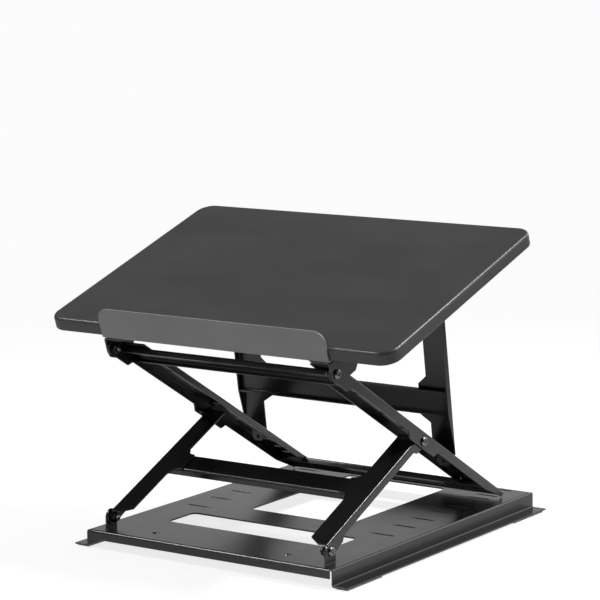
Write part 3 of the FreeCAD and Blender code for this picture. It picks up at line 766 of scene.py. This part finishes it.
class RISER_OT_bolts(bpy.types.Operator):
    """Turn the domed pivot bolts with a cross recess and a threaded end"""

    bl_idname = "riser.bolts"
    bl_label = "Pivot bolts"
    SHANK = 0.0025           # radius under the head
    HEAD_HEIGHT = 0.0027
    HEAD_RIM = 0.0003        # chamfer under the head
    DOME = 0.0017            # fall of the head from its middle to its rim
    DOME_POWER = 3.2         # how late the dome falls away
    RECESS = 0.0015
    ARM_HALF = 0.00075       # half width of the recess at the top of its walls
    ARM_REACH = 0.0026       # length of each arm of the recess
    WALL_RUN = 0.0003        # width of the recess's sloping walls
    END_RUN = 0.0006         # length of the slope at each arm's end
    PLAIN_PART = 0.45        # part of the length without a thread
    THREAD_DEPTH = 0.0004
    CREST_DROP = 0.00004     # how far the crests stay under the shank
    TAIL = 0.0005            # least plain length at the threaded end
    POINT = 0.0006           # chamfer of the threaded end

    def execute(self, context):
        pitch = context.scene.riser_shape.thread_pitch
        for node in ("lug_bolts", "scissor_bolts", "tray_bolts", "support_bolts"):
            low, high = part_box(node)
            head = (high.z - low.z) / 2
            work = bmesh.new()
            inner = min(abs(v.co.x) for v in frame["nodes"][node].data.vertices)
            for side in (-1, 1):
                spot = Vector((side * high.x, (low.y + high.y) / 2, (low.z + high.z) / 2))
                place = Matrix.Translation(spot) @ outward(side)
                self.bolt(work, place, head, high.x - inner, pitch)
            place_piece(node + "_turned", finished_mesh(node + "_steel", work), [node])
        return {"FINISHED"}

    @classmethod
    def bolt(cls, work, place, head, length, pitch):
        """Head dome with its recess at the top, then the shank and a threaded end."""
        shank = cls.SHANK
        height = cls.HEAD_HEIGHT
        rings = 18
        steps = 64
        grid = []
        for i in range(1, rings + 1):
            radius = head * i / rings
            ring = []
            for k in range(steps):
                angle = 2 * math.pi * (k + 0.5) / steps
                x, y = radius * math.cos(angle), radius * math.sin(angle)
                dome = -cls.DOME * (radius / head) ** cls.DOME_POWER
                arm = min(abs(x), abs(y))
                reach = max(abs(x), abs(y))
                walls = min(1.0, max(0.0, (cls.ARM_HALF - arm) / cls.WALL_RUN))
                ends = min(1.0, max(0.0, (cls.ARM_REACH - reach) / cls.END_RUN))
                sink = cls.RECESS * walls * ends
                ring.append(work.verts.new(place @ Vector((x, y, dome - sink))))
            grid.append(ring)
        close_ring(work, grid[0])
        for inner, outer in zip(grid, grid[1:]):
            for k in range(steps):
                j = (k + 1) % steps
                work.faces.new((inner[k], inner[j], outer[j], outer[k]))
        profile = [(head, -height + cls.HEAD_RIM), (head - cls.HEAD_RIM, -height), (shank, -height)]
        root = shank - cls.THREAD_DEPTH
        z = -length * cls.PLAIN_PART
        profile.append((shank, z))
        while z - pitch > -length + cls.TAIL:
            profile.append((root, z - pitch * 0.45))
            profile.append((root, z - pitch * 0.55))
            profile.append((shank - cls.CREST_DROP, z - pitch))
            z -= pitch
        profile.append((shank - cls.POINT, -length))
        rings_below = lathe(work, profile, place @ Matrix.Rotation(math.pi / steps, 4, "Z"), steps)
        for k in range(steps):
            j = (k + 1) % steps
            work.faces.new((grid[-1][k], grid[-1][j], rings_below[0][j], rings_below[0][k]))
        close_ring(work, rings_below[-1])


class RISER_OT_nuts(bpy.types.Operator):
    """Shape the flange nuts with chamfered crowns and bored middles"""

    bl_idname = "riser.nuts"
    bl_label = "Flange nuts"
    APOTHEM = 0.004          # half the width across the flats
    BORE = 0.00255
    FLATS_FROM = 0.00105     # height at which the hexagon starts
    TURNED = 0.3             # angle at which the nuts came to rest, in radians

    def execute(self, context):
        for node in ("lug_nuts", "scissor_nuts", "tray_nuts", "support_nuts"):
            low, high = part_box(node)
            inner = min(abs(v.co.x) for v in frame["nodes"][node].data.vertices)
            work = bmesh.new()
            for side in (-1, 1):
                spot = Vector((side * high.x, (low.y + high.y) / 2, (low.z + high.z) / 2))
                place = Matrix.Translation(spot) @ outward(-side)
                self.nut(work, place, (high.z - low.z) / 2, high.x - inner)
            place_piece(node + "_shaped", finished_mesh(node + "_steel", work), [node])
        return {"FINISHED"}

    @classmethod
    def nut(cls, work, place, flange, height):
        """Ring of one profile, whose middle stretch is pressed into a hexagon."""
        apothem = cls.APOTHEM
        bore = cls.BORE
        crown = apothem * 1.02

        def hexagon(radius, z, angle):
            if z < cls.FLATS_FROM or radius < apothem * 0.9:
                return radius
            sector = (angle + cls.TURNED) % (math.pi / 3) - math.pi / 6
            return min(radius, apothem / math.cos(sector))

        corner = apothem / math.cos(math.pi / 6)
        profile = [(bore, 0.0), (flange, 0.0), (flange, 0.0006), (flange - 0.0003, 0.0009)]
        profile += [(corner, 0.0011), (corner, height - 0.0006)]
        profile += [(crown + 0.0002, height - 0.00025), (crown - 0.0004, height)]
        profile += [(bore + 0.0004, height), (bore, height - 0.0004), (bore, 0.0)]
        lathe(work, profile, place, 72, hexagon)


class RISER_OT_screws(RiserPiece, bpy.types.Operator):
    """Plate the pan-head screws under the tray"""

    bl_idname = "riser.screws"
    bl_label = "Tray screws"
    nodes = ("tray_screws",)


FLOOR_RADIUS = 4.0
FLOOR_DROP = 0.0002          # floor under the pads, so that the two don't share a plane
FLOOR_FADE = (0.45, 1.3)     # distances over which the floor fades out
GLOW_SHARE = 0.45            # part of the floor's glow that falls on the riser
ROOM_DARK = (0.012, 0.012, 0.012)
ROOM_BRIGHT = (0.85, 0.85, 0.85)


class RISER_OT_stage(bpy.types.Operator):
    """Lay the pale floor, set the soft lights and stand the camera"""

    bl_idname = "riser.stage"
    bl_label = "Studio"

    def execute(self, context):
        stage = context.scene.riser_stage
        self.floor(stage)
        self.surroundings(stage)
        # Each light: its place from the riser's middle, its width and height, its power.
        lights = {
            "key_light": ((0.6, 1.9, 1.1), (1.6, 1.6), stage.key_power),
            "side_light": ((2.0, 0.5, 0.9), (1.2, 1.2), stage.side_power),
            "front_light": ((-0.9, -2.2, 0.9), (1.0, 1.0), stage.front_power),
            "edge_light_right": ((1.11, 0.72, 1.60), (0.9, 0.24), stage.edge_power),
            "edge_light_left": ((-1.15, -0.85, 1.5), (0.9, 0.15), stage.edge_power * 0.5),
        }
        middle = (CAD_BOX[0] + CAD_BOX[1]) / 2
        for name, (offset, size, power) in lights.items():
            self.soft_box(name, middle, Vector(offset), size, power)
        self.camera(stage)
        return {"FINISHED"}

    @staticmethod
    def floor(stage):
        """Round glowing floor that fades into the surroundings and looks brighter than it shines."""
        work = bmesh.new()
        bmesh.ops.create_circle(work, cap_ends=True, segments=96, radius=FLOOR_RADIUS)
        mesh = bpy.data.meshes.new("floor")
        work.to_mesh(mesh)
        work.free()
        sheet = bpy.data.objects.new("floor", mesh)
        sheet.location.z = -FLOOR_DROP
        bpy.context.scene.collection.objects.link(sheet)
        material, tree, shader = blank_material("floor_paper")
        shader.inputs["Roughness"].default_value = 0.9
        shader.inputs["Specular IOR Level"].default_value = 0.1
        place = tree.nodes.new("ShaderNodeTexCoord").outputs["Object"]
        fibre = noise(tree, place, size=0.004, detail=3.0)
        dull = tuple(c * 0.985 for c in stage.floor_colour)
        tone = blend_colours(tree, fibre, tuple(stage.floor_colour), dull)
        tree.links.new(tone, shader.inputs["Base Color"])
        length = tree.nodes.new("ShaderNodeVectorMath")
        length.operation = "LENGTH"
        tree.links.new(place, length.inputs[0])
        shader.inputs["Emission Color"].default_value = (1.0, 1.0, 1.0, 1.0)
        ray = tree.nodes.new("ShaderNodeLightPath").outputs["Is Camera Ray"]
        glow = spread(tree, ray, 0.0, 1.0, stage.floor_glow * GLOW_SHARE, stage.floor_glow)
        tree.links.new(glow, shader.inputs["Emission Strength"])
        fade = spread(tree, length.outputs["Value"], *FLOOR_FADE, 1.0, 0.0)
        tree.links.new(fade, shader.inputs["Alpha"])
        mesh.materials.append(material)

    @staticmethod
    def surroundings(stage):
        """Room with a bright band low behind, dark above and in front, plain and pale to the camera."""
        world = bpy.data.worlds.new("studio")
        bpy.context.scene.world = world
        world.use_nodes = True
        tree = world.node_tree
        tree.nodes.clear()
        output = tree.nodes.new("ShaderNodeOutputWorld")
        way = tree.nodes.new("ShaderNodeTexCoord").outputs["Generated"]
        split = tree.nodes.new("ShaderNodeSeparateXYZ")
        tree.links.new(way, split.inputs["Vector"])
        behind = spread(tree, split.outputs["Y"], 0.2, 0.8)
        above = spread(tree, split.outputs["Z"], -0.2, 0.08)
        below = spread(tree, split.outputs["Z"], 0.16, 0.5, 1.0, 0.0)
        band = combine(tree, "MULTIPLY", behind, combine(tree, "MINIMUM", above, below))
        level = blend_colours(tree, band, ROOM_DARK, ROOM_BRIGHT)
        room = add_node(tree, "ShaderNodeBackground", Strength=1.0)
        tree.links.new(level, room.inputs["Color"])
        seen = add_node(tree, "ShaderNodeBackground", Color=(*stage.back_colour, 1.0), Strength=1.0)
        ray = tree.nodes.new("ShaderNodeLightPath").outputs["Is Camera Ray"]
        mix = tree.nodes.new("ShaderNodeMixShader")
        tree.links.new(ray, mix.inputs["Fac"])
        tree.links.new(room.outputs["Background"], mix.inputs[1])
        tree.links.new(seen.outputs["Background"], mix.inputs[2])
        tree.links.new(mix.outputs["Shader"], output.inputs["Surface"])

    @staticmethod
    def soft_box(name, aim, offset, size, power):
        """Elliptical soft light that points at the aim from an offset."""
        light = bpy.data.lights.new(name, "AREA")
        light.shape = "ELLIPSE"
        light.size, light.size_y = size
        light.energy = power
        lamp = bpy.data.objects.new(name, light)
        lamp.location = aim + offset
        lamp.rotation_euler = (-offset).to_track_quat("-Z", "Y").to_euler()
        bpy.context.scene.collection.objects.link(lamp)

    @staticmethod
    def camera(stage):
        """Camera from its place, azimuth, tilt and roll."""
        data = bpy.data.cameras.new("camera")
        data.sensor_width = 36.0
        data.lens = stage.lens
        data.clip_end = 50.0
        camera = bpy.data.objects.new("camera", data)
        ahead = Vector((
            -math.sin(stage.turn) * math.cos(stage.drop),
            math.cos(stage.turn) * math.cos(stage.drop),
            -math.sin(stage.drop),
        ))
        level = ahead.cross(Vector((0, 0, 1))).normalized()
        above = level.cross(ahead)
        right = level * math.cos(stage.roll) + above * math.sin(stage.roll)
        up = right.cross(ahead)
        turned = Matrix((right, up, -ahead)).transposed().to_4x4()
        camera.matrix_world = Matrix.Translation(Vector(stage.eye)) @ turned
        bpy.context.scene.collection.objects.link(camera)
        bpy.context.scene.camera = camera


class RISER_PT_panel(bpy.types.Panel):
    """Sidebar list of the riser's pieces and settings"""

    bl_idname = "RISER_PT_panel"
    bl_label = "Desk riser"
    bl_space_type = "VIEW_3D"
    bl_region_type = "UI"
    bl_category = "Riser"

    def draw(self, context):
        layout = self.layout
        for group in (context.scene.riser_coat, context.scene.riser_shape, context.scene.riser_stage):
            box = layout.box()
            for key in group.__annotations__:
                box.prop(group, key)
        column = layout.column(align=True)
        for operator in OPERATORS:
            column.operator(operator.bl_idname)


SETTINGS = (RiserCoatSettings, RiserShapeSettings, RiserStageSettings)
OPERATORS = (
    RISER_OT_base,
    RISER_OT_pads,
    RISER_OT_front_legs,
    RISER_OT_long_legs,
    RISER_OT_brackets,
    RISER_OT_support,
    RISER_OT_tray,
    RISER_OT_lip,
    RISER_OT_bolts,
    RISER_OT_nuts,
    RISER_OT_screws,
    RISER_OT_stage,
)


def register():
    for cls in (*SETTINGS, *OPERATORS, RISER_PT_panel):
        bpy.utils.register_class(cls)
    bpy.types.Scene.riser_coat = bpy.props.PointerProperty(type=RiserCoatSettings)
    bpy.types.Scene.riser_shape = bpy.props.PointerProperty(type=RiserShapeSettings)
    bpy.types.Scene.riser_stage = bpy.props.PointerProperty(type=RiserStageSettings)


def unregister():
    del bpy.types.Scene.riser_stage
    del bpy.types.Scene.riser_shape
    del bpy.types.Scene.riser_coat
    for cls in reversed((*SETTINGS, *OPERATORS, RISER_PT_panel)):
        bpy.utils.unregister_class(cls)


def main():
    register()
    bpy.context.scene.view_settings.view_transform = "Standard"
    bpy.ops.riser.base()
    bpy.ops.riser.pads()
    bpy.ops.riser.front_legs()
    bpy.ops.riser.long_legs()
    bpy.ops.riser.brackets()
    bpy.ops.riser.support()
    bpy.ops.riser.tray()
    bpy.ops.riser.lip()
    bpy.ops.riser.bolts()
    bpy.ops.riser.nuts()
    bpy.ops.riser.screws()
    bpy.ops.riser.stage()


if __name__ == "__main__":
    main()
